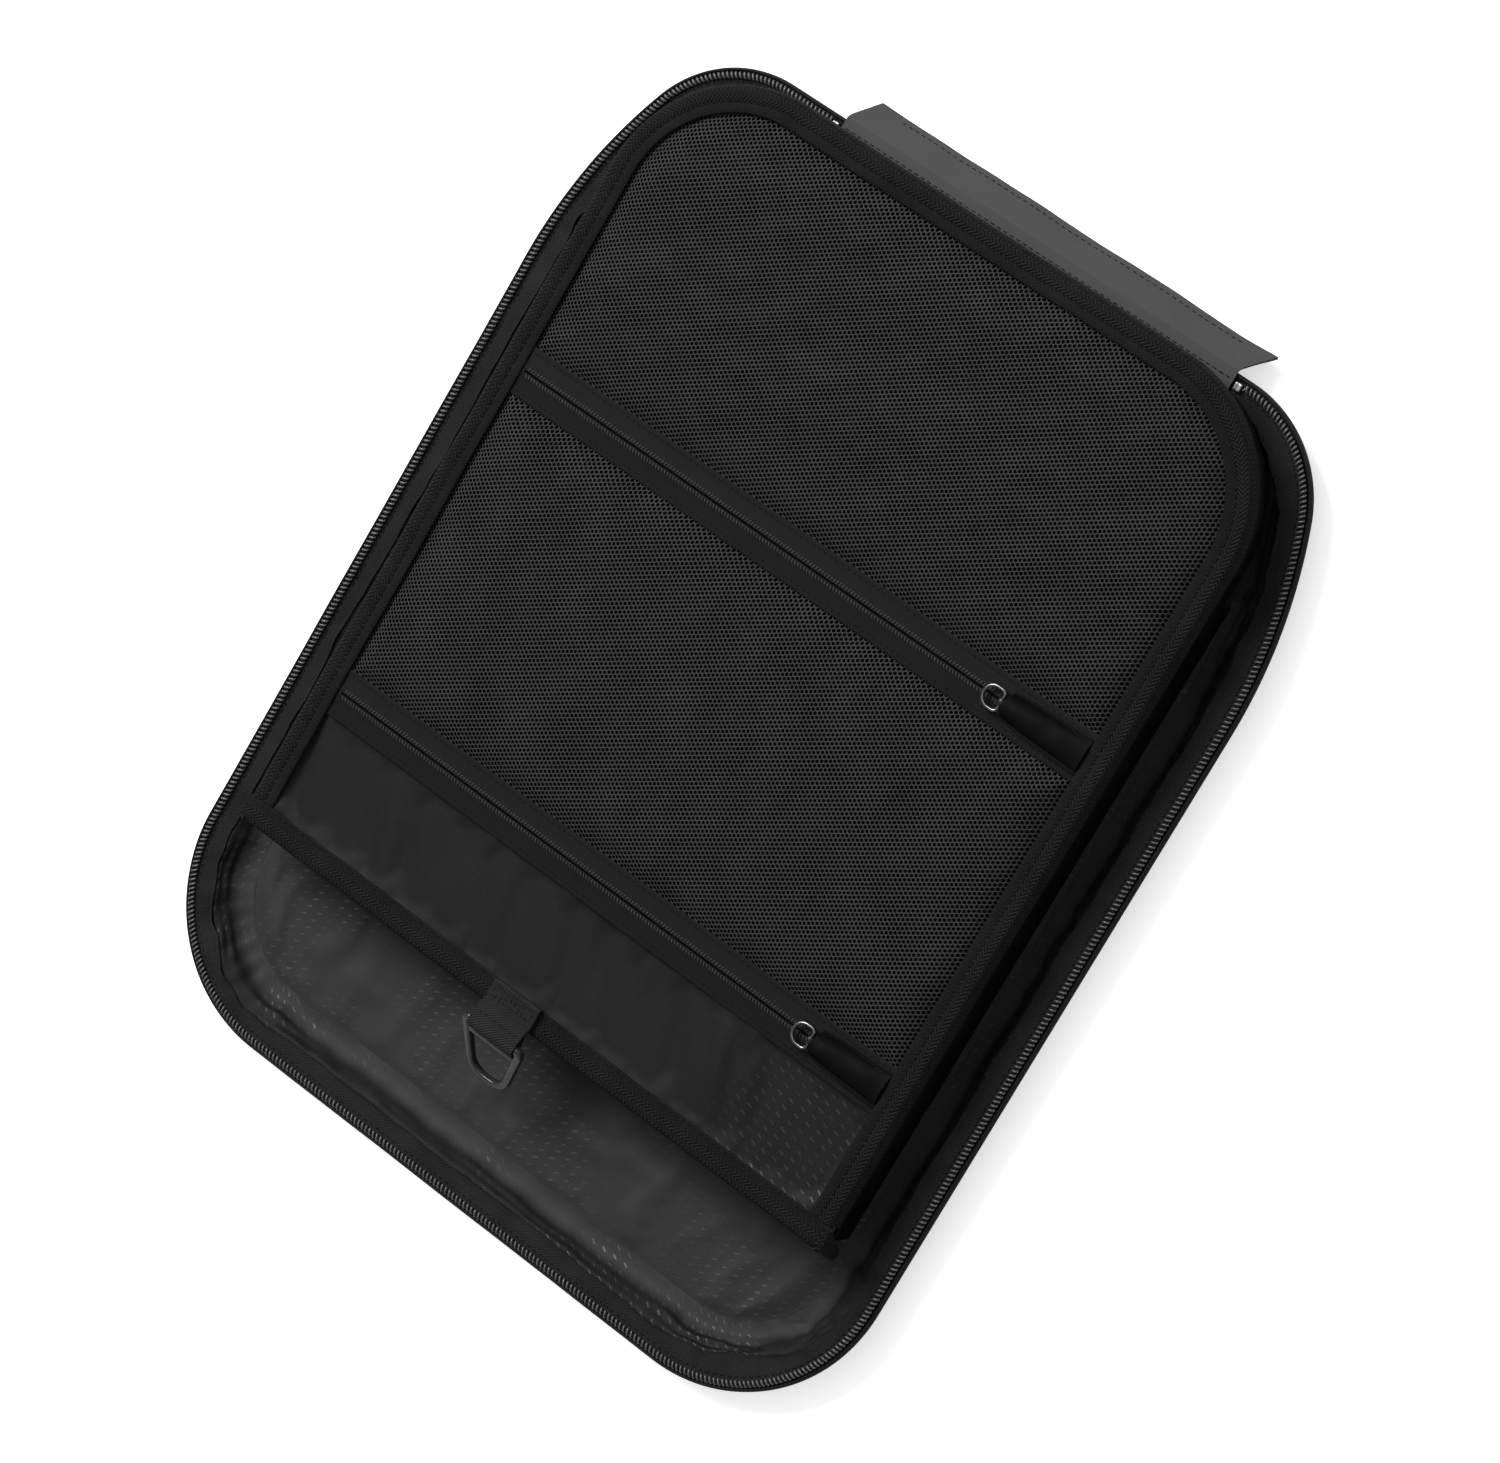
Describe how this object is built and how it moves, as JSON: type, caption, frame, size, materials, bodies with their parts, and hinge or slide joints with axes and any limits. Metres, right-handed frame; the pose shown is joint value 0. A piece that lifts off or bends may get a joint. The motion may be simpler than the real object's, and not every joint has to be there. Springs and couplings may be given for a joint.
{
  "type": "zip-round cable organizer lid",
  "caption": "Shallow zip-round tray with a raised panel of zipped net pockets, a padded sleeve behind it, a pull tab with a D-ring and a fabric hinge.",
  "frame": {"origin": "centre of the flat back face of the tray, on the surface it rests on", "axes": "+X to the right with the open side facing the viewer, +Y towards the fabric hinge, +Z out of the tray"},
  "size_m": [0.36, 0.4635, 0.0474],
  "materials": {
    "shell": "moulded, fine matte grain",
    "piping": "dark grey rim band, low sheen",
    "rim_tape": "knitted zip tape, matte black",
    "coil": "nylon coil, satin black",
    "stops": "pressed stops, satin black",
    "foam": "closed cell foam, matte",
    "lining": "plain woven nylon with a faint dash jacquard",
    "hinge_fabric": "dense grey plain weave, matte",
    "backing": "plain woven nylon, matte black",
    "nylon": "thin woven nylon, soft sheen",
    "net": "knitted hexagonal net, slight sheen",
    "zip_tape": "smooth zip tape with a ribbed centre",
    "garage": "smooth woven hood, black",
    "binding": "twill binding tape with one stitch line",
    "gusset": "plain woven nylon, black",
    "webbing": "ribbed polyester webbing",
    "ring": "moulded, satin dark grey",
    "slider": "die cast, black paint",
    "pull_wire": "bent wire, gloss black paint"
  },
  "bodies": {
    "tray": {"back_shell": "shell", "rim_piping": "piping", "rim_zip_tape": "rim_tape", "rim_zip_coil": "coil", "rim_zip_end_stops": "stops", "back_foam": "foam", "floor_lining": "lining", "side_lining": "lining", "hinge_strip_seam": "hinge_fabric", "sleeve_lining": "lining", "panel_pad": "foam", "panel_backing": "backing", "sleeve_flap": "nylon", "upper_net": "net", "middle_net": "net", "upper_zip_tape": "zip_tape", "upper_zip_coil": "coil", "upper_zip_end_stops": "stops", "upper_zip_garage": "garage", "lower_zip_tape": "zip_tape", "lower_zip_coil": "coil", "lower_zip_end_stops": "stops", "lower_zip_garage": "garage", "panel_binding": "binding", "mouth_binding": "binding", "left_gusset": "gusset", "right_gusset": "gusset", "top_gusset": "gusset", "tab_anchor": "webbing"},
    "upper_slider": {"upper_slider": "slider"},
    "lower_slider": {"lower_slider": "slider"},
    "upper_pull": {"upper_pull_loop": "pull_wire"},
    "lower_pull": {"lower_pull_loop": "pull_wire"},
    "tab": {"webbing_tab": "webbing"},
    "ring": {"d_ring": "ring"},
    "strip": {"hinge_strip": "hinge_fabric"}
  },
  "joints": [
    {"name": "upper_zip_slide", "type": "slide", "parent": "tray", "child": "upper_slider", "axis": [-1, 0, 0], "range_m": [0, 0.243]},
    {"name": "lower_zip_slide", "type": "slide", "parent": "tray", "child": "lower_slider", "axis": [-1, 0, 0], "range_m": [0, 0.247]},
    {"name": "upper_pull_turn", "type": "hinge", "parent": "upper_slider", "child": "upper_pull", "pos_m": [0.1042, 0.0755, 0.0425], "axis": [0, 1, 0], "range_deg": [0, 100]},
    {"name": "lower_pull_turn", "type": "hinge", "parent": "lower_slider", "child": "lower_pull", "pos_m": [0.1082, -0.0755, 0.0425], "axis": [0, 1, 0], "range_deg": [0, 100]},
    {"name": "tab_fold", "type": "hinge", "parent": "tray", "child": "tab", "pos_m": [-0.007, -0.1396, 0.0441], "axis": [-1, 0, 0], "range_deg": [-30, 120]},
    {"name": "ring_turn", "type": "hinge", "parent": "tab", "child": "ring", "pos_m": [-0.007, -0.1496, 0.0441], "axis": [-1, 0, 0], "range_deg": [-42, 118]},
    {"name": "strip_fold", "type": "hinge", "parent": "tray", "child": "strip", "pos_m": [0.011, 0.2276, 0.0168], "axis": [1, 0, 0], "range_deg": [-30, 140]}
  ]
}
